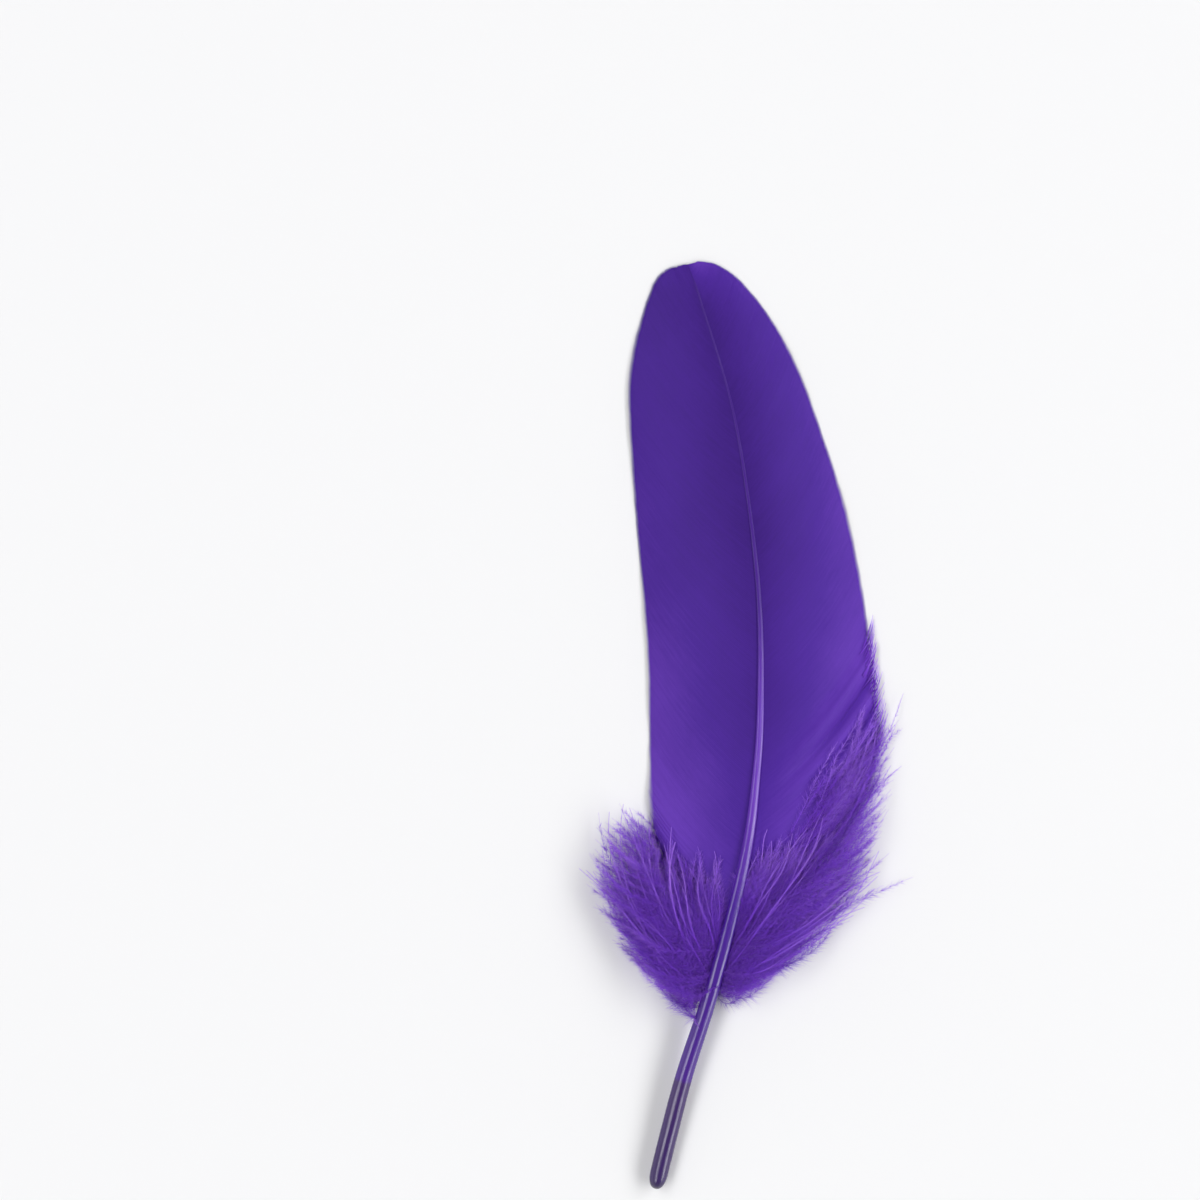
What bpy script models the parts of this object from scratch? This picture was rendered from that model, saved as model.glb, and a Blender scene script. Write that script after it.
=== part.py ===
"""One dyed goose quill feather, lying on a flat surface with its outer side up.

Metres, +Z up. The origin is on the surface, under the middle of the feather's box, and +Y runs
from the quill's end to the feather's tip. A feather grows as one piece, so it is one closed solid:
the quill (the bare calamus and the rachis that it tapers into), the two vanes that spring from the
rachis, and the locks of down at the foot of the vanes, all joined.
"""

import math
import random

import bmesh
import bpy
import numpy as np
from mathutils import Vector

MM = 0.001

# The quill's centre line from its root to the tip: x, y, height above the surface, diameter, in mm.
QUILL_LINE = [
    (-18.0, -90.0, 1.65, 3.30),
    (-15.3, -79.0, 2.00, 3.30),
    (-12.2, -67.2, 2.80, 3.15),
    (-6.7, -49.7, 3.90, 2.75),
    (-0.9, -26.4, 5.20, 2.05),
    (1.3, -10.8, 5.90, 1.52),
    (2.2, 4.8, 6.40, 1.26),
    (1.6, 28.1, 6.40, 0.90),
    (-2.7, 59.2, 4.60, 0.50),
    (-9.3, 82.6, 1.60, 0.30),
    (-11.6, 89.4, 0.50, 0.20),
]
QUILL_POINTS = 38
QUILL_BEVEL_RESOLUTION = 3
QUILL_END_ROUNDING = 3.6
QUILL_END_POWER = 2.4
QUILL_END_FACE = 0.35
RACHIS_LEAST_DIAMETER = 0.56

# The vanes' free edges from the foot to the tip: x and y, in mm.
VANE_EDGES = {
    "left": [
        (-18.9, -14.7), (-19.6, 14.3), (-22.0, 42.1), (-23.3, 63.5), (-22.4, 73.0),
        (-20.9, 78.8), (-19.5, 83.2), (-18.0, 86.6), (-16.0, 88.5), (-13.6, 89.2), (-12.0, 89.5),
    ],
    "right": [
        (25.9, 1.9), (23.0, 22.3), (20.8, 34.7), (17.8, 46.6), (12.8, 61.6),
        (9.0, 71.0), (4.1, 79.6), (-1.0, 86.0), (-4.0, 88.4), (-6.6, 89.7), (-10.0, 90.1),
    ],
}
VANE_FOOT_Y = -33.0
VANE_ROWS = 44
VANE_COLUMNS = 8
VANE_THICKNESS = 0.36
# How quickly the barbs' tips run up each edge as their roots run up the rachis.
EDGE_ADVANCE = {"left": 1.43, "right": 1.07}
BARB_BOW = 0.10
CAMBER_POWER = 1.6
EDGE_WAVE = 0.35
EDGE_WAVES = {"left": 2.5, "right": 3.5}

# Where the locks of down end, from the lowest lock up: x and y, in mm.
DOWN_EDGES = {
    "left": [
        (-15.0, -52.0), (-21.6, -47.6), (-27.0, -40.4), (-30.4, -33.6), (-31.4, -27.6),
        (-30.2, -22.2), (-27.2, -17.4), (-23.4, -14.2),
    ],
    "right": [
        (0.6, -50.7), (8.0, -46.2), (14.2, -40.0), (19.3, -33.8), (23.2, -27.9),
        (25.9, -22.5), (28.6, -10.8), (29.0, -5.0), (27.8, 1.9),
    ],
}
DOWN_ROOTS_Y = {"left": (-53.0, -30.0), "right": (-51.5, -24.0)}
LOCKS = {"left": 24, "right": 28}
LOCK_POINTS = 7
LOCK_ROOT_RADIUS = 0.45
LOCK_RADIUS = 1.4
LOCK_TIP_RADIUS = 0.25
LOCK_FULLEST_AT = 0.5
LOCK_LENGTHS = (0.92, 1.01)
LOCK_BOWS = (0.13, 0.19)
LOCK_CURL = 0.8
LOCK_SPREAD = 0.3
LOCK_TIP_HEIGHTS = (0.5, 2.6, 5.2)
LOCK_MIDDLE_LIFTS = (-0.6, 0.8, 2.4)
SEED = 7

SIDE_SIGN = {"left": -1, "right": 1}
PURPLE = (0.068, 0.024, 0.270, 1.0)


def clear_scene():
    for obj in list(bpy.data.objects):
        bpy.data.objects.remove(obj)


def new_collection(name):
    collection = bpy.data.collections.new(name)
    bpy.context.scene.collection.children.link(collection)
    return collection


def smooth_path(points, steps=24):
    """A dense Catmull-Rom path through the points, and how far along it each of its points is."""
    knots = np.array(points, float)
    knots = np.vstack([2 * knots[0] - knots[1], knots, 2 * knots[-1] - knots[-2]])
    t = np.linspace(0, 1, steps, endpoint=False)[:, None]
    spans = [
        0.5 * (
            2 * b
            + (c - a) * t
            + (2 * a - 5 * b + 4 * c - d) * t**2
            + (3 * b - a - 3 * c + d) * t**3
        )
        for a, b, c, d in zip(knots, knots[1:], knots[2:], knots[3:])
    ]
    path = np.vstack(spans + [knots[-2:-1]])
    run = np.concatenate([[0], np.cumsum(np.linalg.norm(np.diff(path[:, :2], axis=0), axis=1))])
    return path, run


def along(path, run, share):
    """The path's values at a share of its length."""
    at = share * run[-1]
    return np.array([np.interp(at, run, path[:, k]) for k in range(path.shape[1])])


QUILL_PATH, QUILL_RUN = smooth_path(QUILL_LINE)
EDGE_PATHS = {side: smooth_path(points) for side, points in VANE_EDGES.items()}
DOWN_PATHS = {side: smooth_path(points) for side, points in DOWN_EDGES.items()}


def quill_share_at_y(y):
    """The share of the quill's length at which it reaches this y."""
    return float(np.interp(y, QUILL_PATH[:, 1], QUILL_RUN)) / QUILL_RUN[-1]


VANE_FOOT_SHARE = quill_share_at_y(VANE_FOOT_Y)


def bowed(root, tip, bow, sign, t):
    """The plan of a barb or lock: it leaves the rachis wide and bends towards the feather's tip."""
    reach = tip - root
    outward = np.array([reach[1], -reach[0]]) * sign
    middle = root + 0.5 * reach + bow * outward
    return (1 - t) ** 2 * root + 2 * t * (1 - t) * middle + t**2 * tip


def edge_height(side, q):
    """The vanes' edges lie on the surface, and lift off it a little in waves."""
    wave = 0.5 - 0.5 * math.cos(2 * math.pi * EDGE_WAVES[side] * q)
    return VANE_THICKNESS / 2 + EDGE_WAVE * wave


def vane_point(side, q, t):
    """A point of a vane: q runs up the rachis from the foot, and t along a barb from the rachis."""
    share = VANE_FOOT_SHARE + (1 - VANE_FOOT_SHARE) * q
    x, y, z, _ = along(QUILL_PATH, QUILL_RUN, share)
    tip = along(*EDGE_PATHS[side], 1 - (1 - q) ** EDGE_ADVANCE[side])
    plan = bowed(np.array([x, y]), tip, BARB_BOW, SIDE_SIGN[side], t)
    height = z + (edge_height(side, q) - z) * t**CAMBER_POWER
    return Vector((plan[0], plan[1], height)) * MM


def curve_solid(name, points, radii, bevel_resolution):
    """A closed mesh of a tapering tube through the points, in mm."""
    curve = bpy.data.curves.new(name, "CURVE")
    curve.dimensions = "3D"
    curve.bevel_depth = MM
    curve.bevel_resolution = bevel_resolution
    curve.use_fill_caps = True
    spline = curve.splines.new("POLY")
    spline.points.add(len(points) - 1)
    for point, place, radius in zip(spline.points, points, radii):
        point.co = (*(Vector(place) * MM), 1.0)
        point.radius = radius
    guide = bpy.data.objects.new(name + "_line", curve)
    bpy.context.scene.collection.objects.link(guide)
    graph = bpy.context.evaluated_depsgraph_get()
    mesh = bpy.data.meshes.new_from_object(guide.evaluated_get(graph))
    bm = bmesh.new()
    bm.from_mesh(mesh)
    bmesh.ops.remove_doubles(bm, verts=bm.verts, dist=0.01 * MM)
    bmesh.ops.recalc_face_normals(bm, faces=bm.faces)
    bm.to_mesh(mesh)
    bm.free()
    solid = bpy.data.objects.new(name, mesh)
    bpy.data.objects.remove(guide)
    bpy.data.curves.remove(curve)
    return solid


def make_quill():
    """The calamus with its round end, and the rachis that tapers to the feather's tip."""
    round_end = QUILL_END_ROUNDING / QUILL_RUN[-1]
    shares = [round_end * part for part in (0.0, 0.08, 0.25, 0.55)]
    shares.extend(np.linspace(round_end, 1, QUILL_POINTS))
    samples = [along(QUILL_PATH, QUILL_RUN, share) for share in shares]
    radii = []
    for share, (_, _, _, diameter) in zip(shares, samples):
        short_of_full = max(1 - share / round_end, 0.0)
        rounding = (1 - short_of_full**QUILL_END_POWER) ** (1 / QUILL_END_POWER)
        radii.append(max(diameter, RACHIS_LEAST_DIAMETER) / 2 * max(rounding, QUILL_END_FACE))
    return curve_solid("quill", [s[:3] for s in samples], radii, QUILL_BEVEL_RESOLUTION)


def make_vanes():
    """Both vanes as one thickened grid, bent so that its middle column runs up the rachis."""
    bm = bmesh.new()
    bmesh.ops.create_grid(bm, x_segments=2 * VANE_COLUMNS, y_segments=VANE_ROWS, size=1.0)
    for vert in bm.verts:
        side = "left" if vert.co.x < 0 else "right"
        vert.co = vane_point(side, (vert.co.y + 1) / 2, abs(vert.co.x))
    mesh = bpy.data.meshes.new("vanes")
    bm.to_mesh(mesh)
    bm.free()
    vanes = bpy.data.objects.new("feather", mesh)
    thick = vanes.modifiers.new("thickness", "SOLIDIFY")
    thick.thickness = VANE_THICKNESS * MM
    thick.offset = 0.0
    return vanes


def make_lock(side, index, rng):
    """One lock of down, from inside the rachis out to the down's edge, in one of three layers."""
    count = LOCKS[side]
    up = index / (count - 1)
    low, high = DOWN_ROOTS_Y[side]
    x, y, z, _ = along(QUILL_PATH, QUILL_RUN, quill_share_at_y(low + (high - low) * up))
    root = np.array([x, y])
    edge_share = min(max(up + rng.uniform(-LOCK_SPREAD, LOCK_SPREAD) / count, 0.0), 1.0)
    tip = root + (along(*DOWN_PATHS[side], edge_share) - root) * rng.uniform(*LOCK_LENGTHS)
    across = np.array([root[1] - tip[1], tip[0] - root[0]]) / np.linalg.norm(tip - root)
    bow = rng.uniform(*LOCK_BOWS)
    curl = rng.uniform(-LOCK_CURL, LOCK_CURL)
    layer = index % len(LOCK_TIP_HEIGHTS)
    tip_height = LOCK_TIP_HEIGHTS[layer] * rng.uniform(0.7, 1.15)
    points, radii = [], []
    for t in np.linspace(0, 1, LOCK_POINTS):
        plan = bowed(root, tip, bow, SIDE_SIGN[side], t)
        plan = plan + across * curl * t * math.sin(2 * math.pi * t)
        if t < LOCK_FULLEST_AT:
            fullness = math.sin(0.5 * math.pi * t / LOCK_FULLEST_AT)
            radius = LOCK_ROOT_RADIUS + (LOCK_RADIUS - LOCK_ROOT_RADIUS) * fullness
        else:
            fullness = math.cos(0.5 * math.pi * (t - LOCK_FULLEST_AT) / (1 - LOCK_FULLEST_AT))
            radius = LOCK_TIP_RADIUS + (LOCK_RADIUS - LOCK_TIP_RADIUS) * fullness
        rise = LOCK_MIDDLE_LIFTS[layer] * math.sin(math.pi * t)
        height = z + (tip_height - z) * t**1.3 + rise
        points.append((plan[0], plan[1], max(height, radius + 0.05)))
        radii.append(radius)
    return curve_solid(f"lock_{side}_{index}", points, radii, 0)


def join_all(feather, joined):
    """A Boolean union of the vanes with the quill and every lock, which makes one closed body."""
    for piece in joined.objects:
        piece.hide_render = True
        piece.display_type = "WIRE"
    union = feather.modifiers.new("grown_together", "BOOLEAN")
    union.operation = "UNION"
    union.operand_type = "COLLECTION"
    union.collection = joined
    union.solver = "EXACT"


def stand_on_origin(feather, others):
    """Moves the pieces so that the joined solid's box stands over the origin."""
    graph = bpy.context.evaluated_depsgraph_get()
    evaluated = feather.evaluated_get(graph)
    places = np.array([v.co for v in evaluated.data.vertices])
    low, high = places.min(axis=0), places.max(axis=0)
    shift = Vector((-(low[0] + high[0]) / 2, -(low[1] + high[1]) / 2, -low[2]))
    for obj in [feather, *others]:
        obj.location = shift


def dyed_material():
    material = bpy.data.materials.new("dyed_feather")
    material.use_nodes = True
    shader = material.node_tree.nodes["Principled BSDF"]
    shader.inputs["Base Color"].default_value = PURPLE
    shader.inputs["Roughness"].default_value = 0.6
    shader.inputs["Metallic"].default_value = 0.0
    return material


def main():
    clear_scene()
    rng = random.Random(SEED)
    shown = new_collection("goose_quill_feather")
    joined = new_collection("joined_pieces")
    joined.objects.link(make_quill())
    for side, count in LOCKS.items():
        for index in range(count):
            joined.objects.link(make_lock(side, index, rng))
    feather = make_vanes()
    shown.objects.link(feather)
    join_all(feather, joined)
    stand_on_origin(feather, joined.objects)
    feather.data.materials.append(dyed_material())
    feather.data.shade_smooth()
    feather.data.set_sharp_from_angle(angle=math.radians(40))


main()
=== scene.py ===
"""The dyed goose quill feather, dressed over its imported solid, on a plain pale floor.

The solid's one node is replaced by five kinds of piece: the glossy quill, a vane on each side made
barb by barb, the locks of down on each side, and the loose down that lies over the vanes' foot.
Lengths are in millimetres until a mesh is made. The shape's values are those of the solid.
"""

import math
import random

import bpy
import numpy as np
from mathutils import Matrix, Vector
from mathutils.kdtree import KDTree


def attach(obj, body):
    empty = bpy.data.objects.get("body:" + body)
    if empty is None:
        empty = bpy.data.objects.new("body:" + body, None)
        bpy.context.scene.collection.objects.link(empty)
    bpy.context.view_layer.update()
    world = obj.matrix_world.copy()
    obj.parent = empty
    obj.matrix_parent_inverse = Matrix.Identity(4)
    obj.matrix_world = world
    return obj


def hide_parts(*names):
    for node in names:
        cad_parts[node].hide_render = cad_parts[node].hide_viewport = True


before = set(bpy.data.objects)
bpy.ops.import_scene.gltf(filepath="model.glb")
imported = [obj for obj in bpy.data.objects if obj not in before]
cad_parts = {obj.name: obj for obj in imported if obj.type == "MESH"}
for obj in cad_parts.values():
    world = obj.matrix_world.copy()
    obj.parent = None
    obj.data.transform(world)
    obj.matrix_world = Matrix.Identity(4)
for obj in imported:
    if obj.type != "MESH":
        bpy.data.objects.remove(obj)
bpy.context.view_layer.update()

MM = 0.001
UP = np.array([0.0, 0.0, 1.0])
SIDE_SIGN = {"left": -1, "right": 1}

# The solid's shape: its line points are x, y, height and diameter, its edge points x and y.
# The vanes start a little lower than the solid's, under the down.
SOLID_SHIFT = np.array([0.924, 0.006, 0.0])
QUILL_LINE = [
    (-18.0, -90.0, 1.65, 3.30),
    (-15.3, -79.0, 2.00, 3.30),
    (-12.2, -67.2, 2.80, 3.15),
    (-6.7, -49.7, 3.90, 2.75),
    (-0.9, -26.4, 5.20, 2.05),
    (1.3, -10.8, 5.90, 1.52),
    (2.2, 4.8, 6.40, 1.26),
    (1.6, 28.1, 6.40, 0.90),
    (-2.7, 59.2, 4.60, 0.50),
    (-9.3, 82.6, 1.60, 0.30),
    (-11.6, 89.4, 0.50, 0.20),
]
VANE_EDGES = {
    "left": [
        (-16.6, -25.0), (-18.9, -14.7), (-19.6, 14.3), (-22.0, 42.1), (-23.3, 63.5), (-22.4, 73.0),
        (-20.9, 78.8), (-19.5, 83.2), (-18.0, 86.6), (-16.0, 88.5), (-13.6, 89.2), (-12.0, 89.5),
    ],
    "right": [
        (23.6, -13.0), (25.6, -4.0), (25.5, 1.9), (23.0, 22.3), (20.8, 34.7), (17.8, 46.6), (12.8, 61.6),
        (9.0, 71.0), (4.1, 79.6), (-1.0, 86.0), (-4.0, 88.4), (-6.6, 89.7), (-10.0, 90.1),
    ],
}
VANE_FOOT_Y = {"left": -41.0, "right": -38.0}
EDGE_ADVANCE = {"left": 1.50, "right": 1.16}
BARB_BOW = 0.10
CAMBER_POWER = 1.6
EDGE_HEIGHT = 0.10
EDGE_WAVE = 0.35
EDGE_WAVES = {"left": 2.5, "right": 3.5}
DOWN_EDGES = {
    "left": [
        (-15.0, -52.0), (-21.6, -47.6), (-27.0, -40.4), (-30.4, -33.6), (-31.4, -27.6),
        (-30.2, -22.2), (-27.2, -17.4), (-23.4, -14.2),
    ],
    "right": [
        (0.6, -50.7), (8.0, -46.2), (14.2, -40.0), (19.3, -33.8), (23.2, -27.9),
        (25.9, -22.5), (28.6, -10.8), (29.0, -5.0), (27.8, 1.9),
    ],
}
DOWN_ROOTS_Y = {"left": (-53.0, -30.0), "right": (-51.5, -24.0)}
LOCKS = {"left": 24, "right": 28}
LOCK_ROOT_RADIUS = 0.45
LOCK_RADIUS = 1.4
LOCK_TIP_RADIUS = 0.25
LOCK_FULLEST_AT = 0.5
LOCK_LENGTHS = (0.92, 1.01)
LOCK_BOWS = (0.13, 0.19)
LOCK_CURL = 0.8
LOCK_SPREAD = 0.3
LOCK_TIP_HEIGHTS = (0.5, 2.6, 5.2)
LOCK_MIDDLE_LIFTS = (-0.6, 0.8, 2.4)
LOCK_SEED = 7

# The vanes' barbs
BARBS = 330
BARB_STATIONS = 26
BARB_OVERLAP = 1.15
BARB_WIDEST_HALF = 0.42
BARB_RIDGE = 0.020
BARB_BELLY = 0.035
BARB_SHINGLE = 0.014
BARB_NARROWING = 0.88
FRAYED_SLIMMING = 0.62
VANE_SEED = 11

# The down's barbs and the barbules on them
BARBS_PER_LOCK = 5
DOWN_STATIONS = 17
DOWN_STEM_RADIUS = 0.060
LOCK_BARBULES = 260
LOOSE_BARBULES = 370
BARBULE_LENGTH = 3.0
BARBULE_RADIUS = 0.030
BARBULE_PLACES = (0.04, 0.94)
BARBULE_SWEEPS = (0.40, 1.25)
BARBULE_ROLL = 0.6
BARBULE_MOST_ROLL = 1.1
# How pale a barb's stem is at its root, and how much paler at its tip; a barbule, at root and tip.
STEM_PALES = (0.1, 1.4)
BARBULE_PALES = (0.1, 1.0)
LEAST_STEM_HEIGHT = 0.10
LEAST_BARBULE_HEIGHT = 0.04
DOWN_SEED = 23
# The barbs in the locks' places: how far across a lock they spread, how far they wave across and up,
# how much of a lock's length they reach, the share of the locks that sag, and how far, in mm.
LOCK_FILLING = 0.8
LOCK_WAVES = (0.7, 0.4)
LOCK_REACHES = (0.84, 1.04)
LOWEST_LOCKS = 0.3
LOWEST_SAG = 5.0
PIECE_TRIANGLES = 150000

# The camera looks straight down at the point under the picture's middle, in mm.
PICTURE_MIDDLE = (-27.8, 24.2)
PICTURE_WIDTH = 233.4
CAMERA_LENS = 100.0
CAMERA_SENSOR = 36.0


def smooth_path(points, steps=24):
    """A dense Catmull-Rom path through the points, and how far along it each of its points is."""
    knots = np.array(points, float)
    knots = np.vstack([2 * knots[0] - knots[1], knots, 2 * knots[-1] - knots[-2]])
    t = np.linspace(0, 1, steps, endpoint=False)[:, None]
    spans = [
        0.5 * (
            2 * b
            + (c - a) * t
            + (2 * a - 5 * b + 4 * c - d) * t**2
            + (3 * b - a - 3 * c + d) * t**3
        )
        for a, b, c, d in zip(knots, knots[1:], knots[2:], knots[3:])
    ]
    path = np.vstack(spans + [knots[-2:-1]])
    run = np.concatenate([[0], np.cumsum(np.linalg.norm(np.diff(path[:, :2], axis=0), axis=1))])
    return path, run


def along(path, run, share):
    """The path's values at one share of its length, or at an array of shares."""
    at = np.asarray(share) * run[-1]
    return np.stack([np.interp(at, run, path[:, k]) for k in range(path.shape[1])], axis=-1)


QUILL_PATH, QUILL_RUN = smooth_path(QUILL_LINE)
EDGE_PATHS = {side: smooth_path(points) for side, points in VANE_EDGES.items()}
DOWN_PATHS = {side: smooth_path(points) for side, points in DOWN_EDGES.items()}


def quill_share_at_y(y):
    """The share of the quill's length at which it reaches this y."""
    return float(np.interp(y, QUILL_PATH[:, 1], QUILL_RUN)) / QUILL_RUN[-1]


VANE_FOOT_SHARE = {side: quill_share_at_y(y) for side, y in VANE_FOOT_Y.items()}


def smoothstep(value, low, high):
    x = np.clip((value - low) / (high - low), 0.0, 1.0)
    return x * x * (3 - 2 * x)


def unit(vectors):
    return vectors / np.maximum(np.linalg.norm(vectors, axis=-1, keepdims=True), 1e-12)


def soft_noise(rng, at, per_unit):
    """Smooth noise from -1 to 1 along an array of places from 0 to 1."""
    knots = rng.uniform(-1, 1, int(per_unit) + 3)
    place = np.clip(at, 0, 1) * per_unit
    first = np.floor(place).astype(int)
    part = place - first
    part = part * part * (3 - 2 * part)
    return knots[first] * (1 - part) + knots[first + 1] * part


def bowed(root, tip, bow, sign, t):
    """The plan of a barb or lock: it leaves the rachis wide and bends towards the feather's tip."""
    reach = tip - root
    outward = np.stack([reach[..., 1], -reach[..., 0]], axis=-1) * sign
    middle = root + 0.5 * reach + bow * outward
    t = np.asarray(t)[..., None]
    return (1 - t) ** 2 * root + 2 * t * (1 - t) * middle + t**2 * tip


def make_piece(name, points, faces, values, material, sharp_angle=None):
    """A mesh object from points in mm, its faces and named values on its points."""
    mesh = bpy.data.meshes.new(name)
    mesh.from_pydata(((points + SOLID_SHIFT) * MM).tolist(), [], faces)
    for value_name, numbers in values.items():
        attribute = mesh.attributes.new(value_name, "FLOAT", "POINT")
        attribute.data.foreach_set("value", np.asarray(numbers, np.float32))
    mesh.materials.append(material)
    mesh.shade_smooth()
    if sharp_angle is not None:
        mesh.set_sharp_from_angle(angle=math.radians(sharp_angle))
    piece = bpy.data.objects.new(name, mesh)
    bpy.context.scene.collection.objects.link(piece)
    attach(piece, "root")
    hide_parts("feather")
    return piece


# The quill

QUILL_STATIONS = 190
QUILL_END_STATIONS = 10
QUILL_SIDES = 28
QUILL_END_ROUNDING = 3.6
QUILL_END_POWER = 2.4
CALAMUS_FULLNESS = 1.06
RACHIS_LEAST_DIAMETER = 0.42
RACHIS_SINK = 0.10
RACHIS_FLATTENING = 0.22
RACHIS_POWER = 3.2
RACHIS_ROLL = math.radians(14)
TIP_TAPER = 0.75
# Between which shares of the quill's length its section changes: it loses the calamus' fullness,
# becomes a low ridge, becomes squarer, turns upright again, and narrows to the tip.
FULLNESS_FADES = (0.25, 0.40)
RIDGE_GROWS = (0.25, 0.55)
SECTION_SQUARES = (0.16, 0.34)
ROLL_FADES = (0.55, 0.80)
TIP_NARROWS = (0.97, 1.0)


def make_quill(material):
    """A tube along the quill line: round at the calamus, and a low ridge with a flat back further up."""
    round_end = QUILL_END_ROUNDING / QUILL_RUN[-1]
    end = round_end * (1 - np.cos(np.linspace(0.04, 0.5, QUILL_END_STATIONS) * math.pi))
    shares = np.concatenate([end, np.linspace(round_end, 1, QUILL_STATIONS)[1:]])
    line = along(QUILL_PATH, QUILL_RUN, shares)
    short_of_full = np.clip(1 - shares / round_end, 0, None)
    rounding = (1 - short_of_full**QUILL_END_POWER) ** (1 / QUILL_END_POWER)
    fullness = CALAMUS_FULLNESS + (1 - CALAMUS_FULLNESS) * smoothstep(shares, *FULLNESS_FADES)
    radius = np.maximum(line[:, 3], RACHIS_LEAST_DIAMETER) / 2 * fullness * rounding
    half_width = (radius * (1 - TIP_TAPER * smoothstep(shares, *TIP_NARROWS)))[:, None]
    ridge = smoothstep(shares, *RIDGE_GROWS)
    forward = unit(np.gradient(line[:, :3], axis=0))
    across = unit(np.cross(forward, UP))
    upward = np.cross(across, forward)
    angle = np.linspace(0, 2 * math.pi, QUILL_SIDES, endpoint=False)
    square = smoothstep(shares, *SECTION_SQUARES)
    power = 2 / (2 + (RACHIS_POWER - 2) * square)[:, None]
    flattened = (1 - RACHIS_FLATTENING * ridge)[:, None]
    flat_wide = np.sign(np.cos(angle)) * np.abs(np.cos(angle)) ** power * half_width
    flat_tall = np.sign(np.sin(angle)) * np.abs(np.sin(angle)) ** power * half_width * flattened
    roll = (RACHIS_ROLL * square * (1 - smoothstep(shares, *ROLL_FADES)))[:, None]
    wide = flat_wide * np.cos(roll) + flat_tall * np.sin(roll)
    tall = flat_tall * np.cos(roll) - flat_wide * np.sin(roll)
    centre = line[:, :3] + np.outer(radius * (1 - 1 / fullness) - RACHIS_SINK * ridge, UP)
    rings = centre[:, None] + wide[..., None] * across[:, None] + tall[..., None] * upward[:, None]
    points = rings.reshape(-1, 3)
    faces = []
    for ring in range(len(shares) - 1):
        for k in range(QUILL_SIDES):
            a = ring * QUILL_SIDES + k
            b = ring * QUILL_SIDES + (k + 1) % QUILL_SIDES
            faces.append((a, a + QUILL_SIDES, b + QUILL_SIDES, b))
    faces.append(tuple(range(QUILL_SIDES)))
    last = len(points) - QUILL_SIDES
    faces.append(tuple(last + k for k in reversed(range(QUILL_SIDES))))
    run = np.repeat(shares * QUILL_RUN[-1], QUILL_SIDES)
    around = np.tile(angle / (2 * math.pi), len(shares))
    return make_piece("quill", points, faces, {"run": run, "around": around}, material)


# The vanes

# Where barbs part at a vane's edge: share up the vane, share along the barb where the gap starts,
# its width at the edge in mm, and how far up and down the vane it pushes the barbs, as a share.
VANE_SPLITS = {
    "left": [(0.155, 0.86, 0.4, 0.02), (0.885, 0.72, 0.35, 0.02)],
    "right": [
        (0.135, 0.80, 0.5, 0.02), (0.178, 0.78, 0.4, 0.02), (0.235, 0.90, 0.3, 0.02),
        (0.975, 0.2, 0.25, 0.01),
    ],
}
# Folds that run along the barbs: share up the vane, its width as a share, height in mm.
VANE_FOLDS = {
    "left": [(0.07, 0.03, 0.35), (0.14, 0.025, -0.20)],
    "right": [
        (0.06, 0.02, 0.45), (0.095, 0.012, -0.40), (0.118, 0.012, 0.50), (0.136, 0.007, -0.75),
        (0.156, 0.011, 0.70), (0.178, 0.008, -1.00), (0.205, 0.014, 0.75), (0.245, 0.014, -0.30),
    ],
}
# Where the edge is frayed: from and to, as shares up the vane, and how far the tips reach, in mm.
VANE_FRAYS = {"left": [(0.0, 0.10, 0.7)], "right": [(0.0, 0.19, 0.8)]}
# How unevenly the barbs end in mm, and how much more for each mm that the tips are frayed.
EDGE_UNEVEN = 0.04
FRAY_UNEVEN = 0.40
# Soft noise up the vane, as its height in mm and how many knots it has: along the edge, in how the
# barbs gather, and in how they lift.
EDGE_RIPPLES = (0.06, 60)
GATHERS = [(0.14, 90), (0.28, 34)]
LIFTS = [(0.02, 70), (0.09, 22)]
LEAST_HEIGHT = 0.08


def frays(side, q):
    """How frayed the barbs at shares q up the vane are, from 0 to 1, and how far they reach, in mm."""
    frayed = np.zeros_like(q)
    reaches = np.zeros_like(q)
    for low, high, reach in VANE_FRAYS[side]:
        inside = smoothstep(q, low - 0.01, low + 0.03) * (1 - smoothstep(q, high - 0.04, high))
        frayed += inside
        reaches += reach * inside
    return frayed, reaches


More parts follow.
